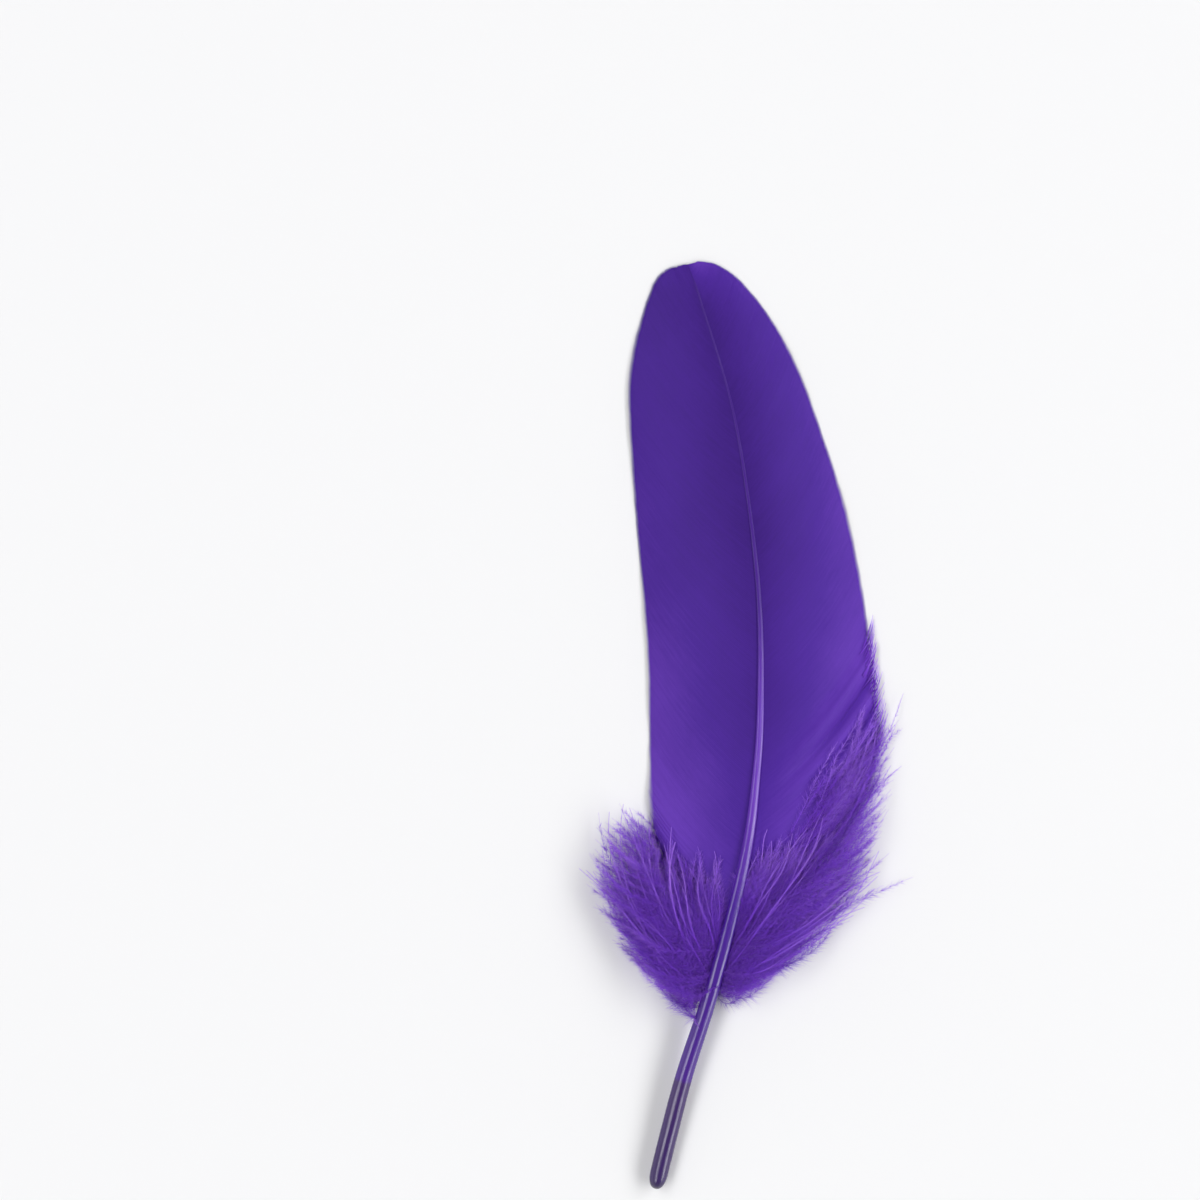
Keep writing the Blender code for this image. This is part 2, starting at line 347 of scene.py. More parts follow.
def vane_points(side, q, t, rng):
    """The middle of each barb of a vane, for barbs at shares q up the rachis, at shares t along them."""
    foot = VANE_FOOT_SHARE[side]
    shares = foot + (1 - foot) * q
    root = along(QUILL_PATH, QUILL_RUN, shares)
    advance = 1 - np.clip(1 - q, 0, 1) ** EDGE_ADVANCE[side]
    tip = along(*EDGE_PATHS[side], advance)
    _, fray = frays(side, q)
    uneven = rng.uniform(-1, 1, q.shape) * (EDGE_UNEVEN + FRAY_UNEVEN * fray)
    uneven += EDGE_RIPPLES[0] * soft_noise(rng, q, EDGE_RIPPLES[1])
    tip = tip + unit(tip - root[:, :2]) * (fray + uneven)[:, None]
    plan = bowed(root[:, None, :2], tip[:, None, :], BARB_BOW, SIDE_SIGN[side], t[None, :])
    wave = 0.5 - 0.5 * np.cos(2 * math.pi * EDGE_WAVES[side] * q)
    edge = EDGE_HEIGHT + EDGE_WAVE * wave
    height = root[:, None, 2] + (edge - root[:, 2])[:, None] * t[None, :] ** CAMBER_POWER
    points = np.concatenate([plan, height[..., None]], axis=-1)

    outer = smoothstep(t, 0.3, 1.0)[None, :]
    gather = sum(size * soft_noise(rng, q, knots) for size, knots in GATHERS)
    up_vane = unit(np.gradient(points, axis=0))
    points += up_vane * (gather[:, None] * outer)[..., None]
    for place, start, gap, reach in VANE_SPLITS[side]:
        push = np.sign(q - place) * np.exp(-np.abs(q - place) / reach) * gap / 2
        opening = smoothstep(t, start, 1.05) ** 1.3
        points += up_vane * (push[:, None] * opening[None, :])[..., None]
    lift = sum(size * soft_noise(rng, q, knots) for size, knots in LIFTS)
    for place, width, rise in VANE_FOLDS[side]:
        lift = lift + rise * np.exp(-((q - place) / width) ** 2)
    points[..., 2] += lift[:, None] * smoothstep(t, 0.12, 0.75)[None, :]
    points[..., 2] = np.maximum(points[..., 2], LEAST_HEIGHT)
    return points


def vane_tone_and_shade(side, rows, t):
    """How light the vane is: lighter outwards, which is painted shade next to the rachis, lighter at the
    foot, and on the right at the edge and tip.
    """
    # Painted shade: the barbs are darker next to the rachis and lighter towards the edge.
    outwards = 0.43 * (1 - (1 - t) ** 2) * (1 - 0.25 * rows**2)
    at_foot = 0.78 * (1 - rows) ** 3.6
    if side == "left":
        return outwards + at_foot
    at_edge = 0.22 * t**3 + 0.25 * smoothstep(t, 0.96, 1.0)
    at_tip = 0.40 * smoothstep(rows, 0.92, 1.0)
    return outwards + at_foot + at_edge + at_tip


def make_vane(side, material):
    """A vane of overlapping barbs: each is a thin closed blade, its far edge tucked under the next."""
    rng = np.random.default_rng(VANE_SEED + SIDE_SIGN[side])
    q = (np.arange(-1, BARBS + 1) + 0.5) / BARBS
    t = np.linspace(0, 1, BARB_STATIONS) ** 0.9
    lines = vane_points(side, np.clip(q, 0, 1), t, rng)
    lines[0] = 2 * lines[1] - lines[2]
    lines[-1] = 2 * lines[-2] - lines[-3]
    middle = lines[1:-1]
    to_next = lines[2:] - middle
    to_last = lines[:-2] - middle

    def half_width(step):
        length = np.linalg.norm(step, axis=-1, keepdims=True)
        return step / np.maximum(length, 1e-9) * np.minimum(length / 2 * BARB_OVERLAP, BARB_WIDEST_HALF)

    narrowing = 1 - BARB_NARROWING * smoothstep(t, 0.955, 1.0)
    frayed, _ = frays(side, q[1:-1])
    slim = 1 - FRAYED_SLIMMING * frayed[:, None] * smoothstep(t, 0.90, 0.98)[None, :]
    width = (narrowing[None, :] * slim)[..., None]
    high_edge = middle + half_width(to_next) * width + UP * BARB_SHINGLE
    low_edge = middle + half_width(to_last) * width - UP * BARB_SHINGLE
    top = middle + UP * BARB_RIDGE * width
    belly = middle - UP * BARB_BELLY * width
    rings = np.stack([high_edge, top, low_edge, belly], axis=2)
    points = rings.reshape(-1, 3)

    faces = []
    turn = 1 if side == "right" else -1
    for barb in range(BARBS):
        start = barb * BARB_STATIONS * 4
        for station in range(BARB_STATIONS - 1):
            a = start + station * 4
            for k in range(4):
                b = (k + 1) % 4
                faces.append((a + k, a + b, a + 4 + b, a + 4 + k)[::turn])
        last = start + (BARB_STATIONS - 1) * 4
        faces.append((start, start + 3, start + 2, start + 1)[::turn])
        faces.append((last, last + 1, last + 2, last + 3)[::turn])

    each = np.ones((BARBS, BARB_STATIONS, 4))
    # The vane's lightness value carries painted shade next to the rachis as well as its dyed tone.
    tone_and_shade = vane_tone_and_shade(side, q[1:-1, None], t[None, :])
    values = {
        "tone_and_shade": (each * tone_and_shade[..., None]).ravel(),
        "out": (each * t[None, :, None]).ravel(),
        "barb_tone": (each * rng.uniform(0, 1, BARBS)[:, None, None]).ravel(),
        "barb": (each * np.arange(BARBS)[:, None, None]).ravel(),
    }
    return make_piece(f"vane_{side}", points, faces, values, material, sharp_angle=35)


# The down


def lock_paths(side, rng):
    """The middle line and radius of each lock of the solid's down, at DOWN_STATIONS places."""
    count = LOCKS[side]
    low, high = DOWN_ROOTS_Y[side]
    t = np.linspace(0, 1, DOWN_STATIONS)
    paths = []
    for index in range(count):
        up = index / (count - 1)
        root = along(QUILL_PATH, QUILL_RUN, quill_share_at_y(low + (high - low) * up))
        edge_share = min(max(up + rng.uniform(-LOCK_SPREAD, LOCK_SPREAD) / count, 0.0), 1.0)
        tip = root[:2] + (along(*DOWN_PATHS[side], edge_share) - root[:2]) * rng.uniform(*LOCK_LENGTHS)
        across = np.array([root[1] - tip[1], tip[0] - root[0]]) / np.linalg.norm(tip - root[:2])
        bow = rng.uniform(*LOCK_BOWS)
        curl = rng.uniform(-LOCK_CURL, LOCK_CURL)
        layer = index % len(LOCK_TIP_HEIGHTS)
        tip_height = LOCK_TIP_HEIGHTS[layer] * rng.uniform(0.7, 1.15)
        plan = bowed(root[:2], tip, bow, SIDE_SIGN[side], t)
        plan = plan + across * (curl * t * np.sin(2 * math.pi * t))[:, None]
        rise = LOCK_MIDDLE_LIFTS[layer] * np.sin(math.pi * t)
        height = root[2] + (tip_height - root[2]) * t**1.3 + rise
        swell = np.sin(0.5 * math.pi * np.minimum(t / LOCK_FULLEST_AT, 1))
        thin = np.cos(0.5 * math.pi * np.maximum(t - LOCK_FULLEST_AT, 0) / (1 - LOCK_FULLEST_AT))
        radius = np.where(
            t < LOCK_FULLEST_AT,
            LOCK_ROOT_RADIUS + (LOCK_RADIUS - LOCK_ROOT_RADIUS) * swell,
            LOCK_TIP_RADIUS + (LOCK_RADIUS - LOCK_TIP_RADIUS) * thin,
        )
        paths.append((np.column_stack([plan, height]), radius))
    return paths


def three_sides(across, upward):
    """The three corners of a section round each point of a line, one unit out from it."""
    angles = np.arange(3) * 2 * math.pi / 3
    along_across = np.cos(angles)[None, :, None] * across[:, None]
    return along_across + np.sin(angles)[None, :, None] * upward[:, None]


class Fluff:
    """Gathers downy barbs, each a thin stem with fine pointed barbules, into one mesh."""

    def __init__(self, name, material, seed):
        self.name = name
        self.material = material
        self.rng = np.random.default_rng(seed)
        self.made = 0
        self.clear()

    def clear(self):
        self.points = []
        self.faces = []
        self.tones = []
        self.outs = []
        self.pales = []
        self.count = 0

    def add(self, points, faces, tone, out, pale):
        self.points.append(points)
        self.faces.append(faces + self.count)
        self.tones.append(np.full(len(points), tone))
        self.outs.append(out)
        self.pales.append(pale)
        self.count += len(points)

    def add_stem(self, line, radius, tone):
        """A three-sided stem that tapers along the line, closed at both ends."""
        n = len(line)
        forward = unit(np.gradient(line, axis=0))
        across = unit(np.cross(forward, UP))
        ring = three_sides(across, np.cross(across, forward))
        points = (line[:, None] + ring * radius[:, None, None]).reshape(-1, 3)
        base = np.arange(n - 1)[:, None] * 3
        k = np.arange(3)[None, :]
        a, b = base + k, base + (k + 1) % 3
        first_halves = np.stack([a, a + 3, b + 3], -1)
        other_halves = np.stack([a, b + 3, b], -1)
        sides = np.concatenate([first_halves, other_halves]).reshape(-1, 3)
        last = 3 * (n - 1)
        ends = np.array([[0, 1, 2], [last + 2, last + 1, last]])
        out = np.repeat(np.linspace(0, 1, n), 3)
        pale = STEM_PALES[0] + STEM_PALES[1] * out**2
        self.add(points, np.concatenate([sides, ends]), tone, out, pale)

    def add_barbules(self, line, count, length, tone):
        """Pointed barbules off both sides of a stem, swept towards its tip."""
        rng = self.rng
        n = len(line)
        place = np.sort(rng.uniform(*BARBULE_PLACES, count))
        at = place * (n - 1)
        first = np.minimum(at.astype(int), n - 2)
        part = (at - first)[:, None]
        root = line[first] * (1 - part) + line[first + 1] * part
        forward = unit(line[first + 1] - line[first])
        side = unit(np.cross(forward, UP)) * np.where(rng.random(count) < 0.5, -1, 1)[:, None]
        upward = np.cross(side, forward)
        roll = np.clip(rng.normal(0, BARBULE_ROLL, count), -BARBULE_MOST_ROLL, BARBULE_MOST_ROLL)[:, None]
        sweep = (rng.uniform(*BARBULE_SWEEPS, count) * (1 - 0.45 * place**2))[:, None]
        outward = np.cos(roll) * side + np.sin(roll) * upward
        heading = np.cos(sweep) * forward + np.sin(sweep) * outward
        longest_in_middle = 0.30 + 0.70 * np.sin(math.pi * place**0.9)
        reach = length * rng.uniform(0.5, 1.2, count) * longest_in_middle
        tip = root + heading * reach[:, None]
        tip[:, 2] = np.maximum(tip[:, 2], LEAST_BARBULE_HEIGHT)
        spread = unit(np.cross(heading, upward))
        ring = root[:, None] + three_sides(spread, np.cross(spread, heading)) * BARBULE_RADIUS
        points = np.concatenate([ring, tip[:, None]], axis=1).reshape(-1, 3)
        base = np.arange(count)[:, None] * 4
        pattern = np.array([[0, 1, 3], [1, 2, 3], [2, 0, 3], [0, 2, 1]])
        faces = (base[:, None] + pattern[None]).reshape(-1, 3)
        at_root, at_tip = BARBULE_PALES
        self.add(points, faces, tone, np.repeat(place, 4), np.tile([at_root] * 3 + [at_tip], count))

    def add_barb(self, line, barbules, tone, length=BARBULE_LENGTH, thickness=1.0):
        line[:, 2] = np.maximum(line[:, 2], LEAST_STEM_HEIGHT)
        radius = DOWN_STEM_RADIUS * (thickness - 0.65 * np.linspace(0, 1, len(line)))
        self.add_stem(line, radius, tone)
        self.add_barbules(line, barbules, length, tone)
        if sum(len(faces) for faces in self.faces) > PIECE_TRIANGLES:
            self.make()

    def make(self):
        """Makes a piece of what has been gathered so far."""
        if not self.points:
            return
        points = np.concatenate(self.points)
        faces = np.concatenate(self.faces).tolist()
        values = {
            "barb_tone": np.concatenate(self.tones),
            "out": np.concatenate(self.outs),
            "pale": np.concatenate(self.pales),
        }
        self.made += 1
        make_piece(f"{self.name}_{self.made}", points, faces, values, self.material)
        self.clear()


def wavy(rng, line, sideways, most):
    """A line with a wave across it that grows towards its end."""
    t = np.linspace(0, 1, len(line))
    turns = rng.uniform(0.6, 1.5)
    phase = rng.uniform(0, 2 * math.pi)
    wave = np.sin(2 * math.pi * turns * t + phase) - math.sin(phase)
    return line + sideways * (most * t**1.2 * wave)[:, None]


def between(paths, place):
    """The path at a place in an ordered list of paths, between its two neighbours."""
    first = min(int(place), len(paths) - 2)
    part = place - first
    return paths[first] * (1 - part) + paths[first + 1] * part


def vane_heights(vane):
    """A search tree of the vane's points in plan, and each one's height, in mm from the solid's zero."""
    points = np.empty(len(vane.data.vertices) * 3)
    vane.data.vertices.foreach_get("co", points)
    points = points.reshape(-1, 3) / MM - SOLID_SHIFT
    tree = KDTree(len(points))
    for index, (x, y, _) in enumerate(points):
        tree.insert((x, y, 0.0), index)
    tree.balance()
    return tree, points[:, 2]


# How near the vane in plan a barb's point is moved, in mm, and how often a barb's heights are eased
# where it leaves the vane, under it and over it.
VANE_NEAR = 1.0
VANE_EASINGS = (6, 2)


def pass_vane(line, surface, gap, over):
    """Moves a line's points that meet the vane in plan so that they clear it, above it or below."""
    tree, heights = surface
    for index, (x, y, z) in enumerate(line):
        _, near, distance = tree.find((x, y, 0.0))
        if distance < VANE_NEAR:
            line[index, 2] = max(z, heights[near] + gap) if over else min(z, heights[near] - gap)
    furthest = np.maximum if over else np.minimum
    for _ in range(VANE_EASINGS[over]):
        halfway = (line[:-2, 2] + line[2:, 2]) / 2
        line[1:-1, 2] = furthest(line[1:-1, 2], halfway)
    return line


def make_down(side, material, lock_rng, surface):
    """The lower down on one side: barbs in and between the solid's locks, layer by layer."""
    locks = lock_paths(side, lock_rng)
    fluff = Fluff(f"down_{side}", material, DOWN_SEED + SIDE_SIGN[side])
    rng = fluff.rng
    t = np.linspace(0, 1, DOWN_STATIONS)
    radius = locks[0][1]
    layers = len(LOCK_TIP_HEIGHTS)
    for layer in range(layers):
        paths = [path for path, _ in locks[layer::layers]]
        count = BARBS_PER_LOCK * len(paths)
        for index in range(count):
            place = (index + rng.uniform(0, 1)) / count * (len(paths) - 1)
            path = between(paths, place)
            across = unit(np.cross(unit(path[-1] - path[0]), UP))
            offset = (across * rng.uniform(-1, 1) + UP * rng.uniform(-0.8, 0.6)) * LOCK_FILLING
            line = path + offset * (radius * (1 - 0.6 * t**2))[:, None]
            line = wavy(rng, line, across, LOCK_WAVES[0])
            line = wavy(rng, line, UP, LOCK_WAVES[1])
            lowest = max(0.0, 1 - place / (LOWEST_LOCKS * (len(paths) - 1)))
            line[:, 1] -= LOWEST_SAG * lowest * rng.uniform(0, 1) * np.sin(math.pi * t**0.7)
            reach = rng.uniform(*LOCK_REACHES)
            line = path[0] + (line - path[0]) * reach
            line = pass_vane(line, surface, UNDER_VANE, over=False)
            barbules = LOCK_BARBULES * reach * (1 - 0.5 * lowest)
            fluff.add_barb(line, int(barbules), rng.uniform(0, 1))
    fluff.make()


# Loose down over the vanes' foot, in fans of so many barbs, with this share of the barbules' full
# length, of the fan's full loft, and of each barb that stays under the vane. Barbs round each fan
# are listed: root y, tip x, tip y, bow, and how far the tip hooks outwards, in mm.
LOOSE_DOWN = {
    "left": [
        (
            160, 1.0, 1.0, 0.0,
            [
                (-52.5, -21.0, -39.5, 0.10, 1.0), (-52.0, -25.0, -33.5, 0.11, 1.2),
                (-51.5, -28.6, -27.6, 0.12, 1.3), (-51.0, -28.6, -23.4, 0.14, 1.1),
                (-51.0, -27.0, -20.6, 0.16, 0.8), (-50.5, -24.8, -18.4, 0.18, 0.5),
                (-50.5, -22.6, -16.6, 0.19, 0.2), (-50.0, -20.4, -17.0, 0.18, 0.0),
                (-49.5, -18.4, -20.0, 0.16, 0.0), (-48.5, -16.2, -22.6, 0.13, 0.0),
                (-47.5, -13.8, -24.6, 0.10, 0.1), (-46.5, -11.4, -26.0, 0.09, 0.0),
                (-45.5, -9.0, -27.0, 0.07, 0.0), (-44.0, -6.4, -27.8, 0.05, 0.0),
            ],
        ),
    ],
    "right": [
        (
            140, 1.0, 1.0, 0.0,
            [
                (-38.0, 1.4, -26.6, 0.05, 0.0), (-40.5, 3.2, -24.4, 0.07, 0.0),
                (-42.5, 5.2, -22.4, 0.08, 0.1), (-44.5, 7.6, -21.0, 0.09, 0.2),
                (-46.0, 10.2, -20.0, 0.09, 0.3), (-47.0, 13.0, -18.8, 0.09, 0.5),
                (-48.0, 16.2, -18.0, 0.08, 0.8), (-48.5, 19.8, -17.8, 0.08, 1.2),
                (-48.5, 23.2, -20.2, 0.08, 1.6), (-49.0, 26.4, -24.6, 0.08, 1.8),
                (-49.0, 25.2, -29.2, 0.09, 1.6), (-50.0, 19.4, -34.0, 0.10, 1.0),
                (-50.5, 11.0, -41.0, 0.10, 0.6),
            ],
        ),
        (
            90, 0.70, 0.25, 0.58,
            [
                (-45.0, 22.0, -16.5, 0.06, 1.2), (-42.0, 24.8, -11.0, 0.07, 1.2),
                (-39.0, 26.8, -5.0, 0.07, 0.9), (-37.0, 28.0, 0.0, 0.07, 0.7),
                (-36.0, 28.0, 4.0, 0.07, 0.5), (-35.0, 24.6, 6.5, 0.07, 0.3),
            ],
        ),
    ],
}
# Single barbs that lie over the quill at the foot of the down: root x and y, tip x and y, and bow.
CROSSING_DOWN = [
    (-12.0, -50.0, -9.5, -58.6, 0.12), (-11.6, -51.4, -10.3, -57.6, -0.10),
    (-12.2, -48.6, -8.2, -50.6, -0.25), (-5.6, -50.4, -9.6, -53.6, 0.30),
]
# Free barb tips along the right vane's edge: from and to y, how many, where they start in from the
# edge, how far they stick out, their direction in degrees from across the feather, and their tone.
FRINGE = [
    (18.4, 12.0, 15, 1.2, 2.2, 63, 0.6), (17.0, 8.0, 20, 3.6, 0.8, 56, 1.4),
    (12.0, 8.0, 9, 1.2, 1.1, 60, 0.6), (8.0, -5.0, 26, 2.6, 2.3, 58, 0.9),
]
FRINGE_RADIUS = 0.11
FRINGE_OVER_VANE = 0.12
# The share of loose barbs that stray, how many bundles there are for each barb that is listed above,
# and how strongly the barbs are drawn into them, up to 1.
STRAY_SHARE = 0.16
CLUMPS = 1.15
CLUMPING = 0.8
# How far loose barbs' roots and tips and their bow scatter, the share of their listed reach that they
# have, how high their tips end, how far they rise between, and how far they wave.
ROOT_SCATTER = 2.4
TIP_SCATTER = 1.8
BOW_SCATTER = 0.08
LOOSE_REACHES = (0.74, 1.00)
STRAY_REACHES = (0.94, 1.03)
LOOSE_TIP_HEIGHTS = (1.2, 3.6)
LOOSE_RISES = (0.6, 3.0)
STRAY_RISE = 3.4
LEAST_RISE = 0.1
LOOSE_WAVE = 0.9
# Strays and the barbs over the quill have fewer and shorter barbules.
SPARSE_BARBULES = LOOSE_BARBULES // 3
SHORT_BARBULE = BARBULE_LENGTH * 0.4
# A barb is freest to rise this far from the rachis. It clears the vane by at least these, in mm.
FREE_AT = 12
OVER_VANE = 0.30
UNDER_VANE = 0.45


def make_loose_down(side, material, surface):
    """The barbs of down that lie over the foot of the vane, in small fans."""
    fluff = Fluff(f"loose_down_{side}", material, DOWN_SEED + 5 + SIDE_SIGN[side])
    rng = fluff.rng
    t = np.linspace(0, 1, DOWN_STATIONS)
    for count, fullness, loft, hidden, guides in LOOSE_DOWN[side]:
        guides = [np.array(guide) for guide in guides]
        for index in range(count):
            place = (index + rng.uniform(-0.6, 1.6)) / count * (len(guides) - 1)
            place -= CLUMPING * math.sin(2 * math.pi * CLUMPS * place) / (2 * math.pi * CLUMPS)
            root_y, tip_x, tip_y, bow, hook = between(guides, np.clip(place, 0, len(guides) - 1.001))
            root_y += rng.uniform(-ROOT_SCATTER, ROOT_SCATTER)
            root = along(QUILL_PATH, QUILL_RUN, quill_share_at_y(root_y))
            root[0] += SIDE_SIGN[side] * root[3] * 0.35
            stray = rng.uniform(0, 1) < STRAY_SHARE * (1 - hidden)
            reach = np.array([tip_x, tip_y]) + rng.normal(0, TIP_SCATTER, 2) - root[:2]
            reach = reach * rng.uniform(*(STRAY_REACHES if stray else LOOSE_REACHES))
            tip = root[:2] + reach
            plan = bowed(root[:2], tip, bow + rng.normal(0, BOW_SCATTER), SIDE_SIGN[side], t)
            outward = unit(np.array([reach[1], -reach[0]]) * SIDE_SIGN[side])
            plan = plan + outward * (hook * rng.uniform(0.3, 1.3) * t**4)[:, None]
            at_tip = along(QUILL_PATH, QUILL_RUN, quill_share_at_y(tip[1]))
            freedom = min(abs(tip[0] - at_tip[0]) / FREE_AT, 1.0)
            tip_height = rng.uniform(*LOOSE_TIP_HEIGHTS) * (0.2 + 0.8 * loft)
            rise = LEAST_RISE + (STRAY_RISE if stray else rng.uniform(*LOOSE_RISES)) * freedom * loft
            height = root[2] + (tip_height - root[2]) * t + rise * np.sin(math.pi * t) ** 1.2
            line = np.column_stack([plan, height])
            across = unit(np.cross(unit(line[-1] - line[0]), UP))
            line = wavy(rng, line, across, LOOSE_WAVE)
            line = pass_vane(line, surface, OVER_VANE + rng.uniform(0, 0.8) * freedom, over=True)
            if hidden:
                line = line[int(DOWN_STATIONS * hidden * rng.uniform(0.75, 1.25)):]
                line[0, 2] -= 3 * OVER_VANE
            if stray:
                tone = 0.7 + 0.8 * fullness * rng.uniform(0.5, 1)
                fluff.add_barb(line, SPARSE_BARBULES, tone, SHORT_BARBULE, 1.1 + 0.4 * loft)
            else:
                barbules = int(LOOSE_BARBULES * (1 - hidden) * rng.uniform(0.7, 1.0))
                tone = rng.uniform(0, 1) + 1.4 * hidden
                fluff.add_barb(line, barbules, tone, BARBULE_LENGTH * fullness)
    if side == "right":
        add_fringe(fluff, surface)
    else:
        add_crossing_down(fluff)
    fluff.make()


def add_crossing_down(fluff):
    """The few barbs of down that lie over the quill."""
    rng = fluff.rng
    t = np.linspace(0, 1, DOWN_STATIONS)
    for root_x, root_y, tip_x, tip_y, bow in CROSSING_DOWN:
        plan = bowed(np.array([root_x, root_y]), np.array([tip_x, tip_y]), bow, 1, t)
        run = np.interp(plan[:, 1], QUILL_PATH[:, 1], QUILL_RUN)
        quill = along(QUILL_PATH, QUILL_RUN, run / QUILL_RUN[-1])
        radius = quill[:, 3] / 2 * CALAMUS_FULLNESS
        over = np.sqrt(np.maximum(radius**2 - (plan[:, 0] - quill[:, 0]) ** 2, 0))
        line = np.column_stack([plan, quill[:, 2] + over + 0.3])
        fluff.add_barb(line, SPARSE_BARBULES, rng.uniform(0.4, 1.2), SHORT_BARBULE)


def add_fringe(fluff, surface):
    """The free tips of barbs that stick out of the right vane's edge like a comb."""
    rng = fluff.rng
    t = np.linspace(0, 1, 7)
    path, _ = EDGE_PATHS["right"]
    for high, low, count, inset, length, direction, tone in FRINGE:
        for y in np.linspace(high, low, count):
            x = np.interp(y, path[:, 1], path[:, 0])
            lean = math.radians(direction + rng.normal(0, 5))
            heading = np.array([math.cos(lean), math.sin(lean), 0.0])
            bend = np.array([-heading[1], heading[0], 0.0]) * rng.uniform(0.1, 0.3)
            start = np.array([x, y, 0.3]) - inset * rng.uniform(0.4, 1.0) * heading
            reach = inset + length * rng.uniform(0.7, 1.15)
            line = start + reach * (np.outer(t, heading) + np.outer(t**2, bend))
            line[:, 2] += rng.uniform(0.1, 0.6) * t
            line = pass_vane(line, surface, FRINGE_OVER_VANE, over=True)
            radius = FRINGE_RADIUS * np.linspace(1, 0.35, len(t))
            fluff.add_stem(line, radius, tone + rng.uniform(-0.2, 0.3))


# Materials


def new_material(name, roughness):
    material = bpy.data.materials.new(name)
    material.use_nodes = True
    shader = material.node_tree.nodes["Principled BSDF"]
    shader.inputs["Roughness"].default_value = roughness
    return material, material.node_tree, shader


def add_node(tree, kind, **settings):
    node = tree.nodes.new(kind)
    for name, value in settings.items():
        setattr(node, name, value)
    return node


def attribute(tree, name):
    return add_node(tree, "ShaderNodeAttribute", attribute_name=name).outputs["Fac"]


def maths(tree, operation, first, second):
    node = add_node(tree, "ShaderNodeMath", operation=operation)
    for socket, value in zip(node.inputs, (first, second)):
        if isinstance(value, (int, float)):
            socket.default_value = value
        else:
            tree.links.new(value, socket)
    return node.outputs[0]


def ramp(tree, factor, stops):
    node = add_node(tree, "ShaderNodeValToRGB")
    colours = node.color_ramp.elements
    while len(colours) < len(stops):
        colours.new(0.5)
    for element, (place, colour) in zip(colours, stops):
        element.position = place
        element.color = (*colour, 1.0)
    tree.links.new(factor, node.inputs["Fac"])
    return node.outputs["Color"]


def noise(tree, vector, scale, detail=3.0):
    node = add_node(tree, "ShaderNodeTexNoise")
    node.inputs["Scale"].default_value = scale
    node.inputs["Detail"].default_value = detail
    tree.links.new(vector, node.inputs["Vector"])
    return node.outputs["Fac"]


def combine(tree, *parts):
    node = add_node(tree, "ShaderNodeCombineXYZ")
    for socket, part in zip(node.inputs, parts):
        if isinstance(part, (int, float)):
            socket.default_value = part
        else:
            tree.links.new(part, socket)
    return node.outputs[0]


def mix_colour(tree, factor, first, second):
    node = add_node(tree, "ShaderNodeMix", data_type="RGBA", blend_type="MIX")
    sockets = (node.inputs[0], node.inputs[6], node.inputs[7])
    for socket, value in zip(sockets, (factor, first, second)):
        if isinstance(value, (int, float)):
            socket.default_value = value
        elif isinstance(value, tuple):
            socket.default_value = (*value, 1.0)
        else:
            tree.links.new(value, socket)
    return node.outputs[2]


def add_bump(tree, shader, height, distance, strength):
    node = add_node(tree, "ShaderNodeBump")
    node.inputs["Distance"].default_value = distance
    node.inputs["Strength"].default_value = strength
    tree.links.new(height, node.inputs["Height"])
    tree.links.new(node.outputs[0], shader.inputs["Normal"])


def scaled(tree, value, factor):
    return maths(tree, "MULTIPLY", value, factor)


def vane_material():
    """Dyed barbs: fine streaks along each barb, deeper higher up the vane, and deeper next to the rachis,
    which is painted shade.
    """
    material, tree, shader = new_material("dyed_vane", 0.62)
    tone_and_shade = attribute(tree, "tone_and_shade")
    out = attribute(tree, "out")
    tone = attribute(tree, "barb_tone")
    barb = attribute(tree, "barb")
    along_barb = combine(tree, scaled(tree, out, 6.0), scaled(tree, barb, 0.33), 0.0)
    streaks = noise(tree, along_barb, 1.6, 4.0)
    place = add_node(tree, "ShaderNodeTexCoord").outputs["Object"]
    clouds = noise(tree, place, 55.0, 2.0)
    level = maths(tree, "ADD", scaled(tree, streaks, 0.24), scaled(tree, clouds, 0.38))
    level = maths(tree, "ADD", level, scaled(tree, tone, 0.05))
    # Painted shade from the vane's lightness value: darker next to the rachis.
    level = maths(tree, "ADD", level, maths(tree, "SUBTRACT", tone_and_shade, 0.33))
    colour = ramp(
        tree,
        level,
        [
            (0.00, (0.040, 0.008, 0.185)),
            (0.50, (0.066, 0.0155, 0.298)),
            (1.00, (0.132, 0.040, 0.455)),
        ],
    )
    tree.links.new(colour, shader.inputs["Base Color"])
    shader.inputs["Specular IOR Level"].default_value = 0.16
    shader.inputs["Sheen Weight"].default_value = 0.06
    shader.inputs["Sheen Roughness"].default_value = 0.45
    shader.inputs["Sheen Tint"].default_value = (0.55, 0.35, 1.0, 1.0)
    rough = maths(tree, "ADD", scaled(tree, streaks, 0.20), 0.50)
    tree.links.new(rough, shader.inputs["Roughness"])
    barbules = combine(tree, scaled(tree, out, 240.0), scaled(tree, barb, 2.0), 0.0)
    add_bump(tree, shader, noise(tree, barbules, 1.0, 2.0), 0.00004, 0.35)
    return material


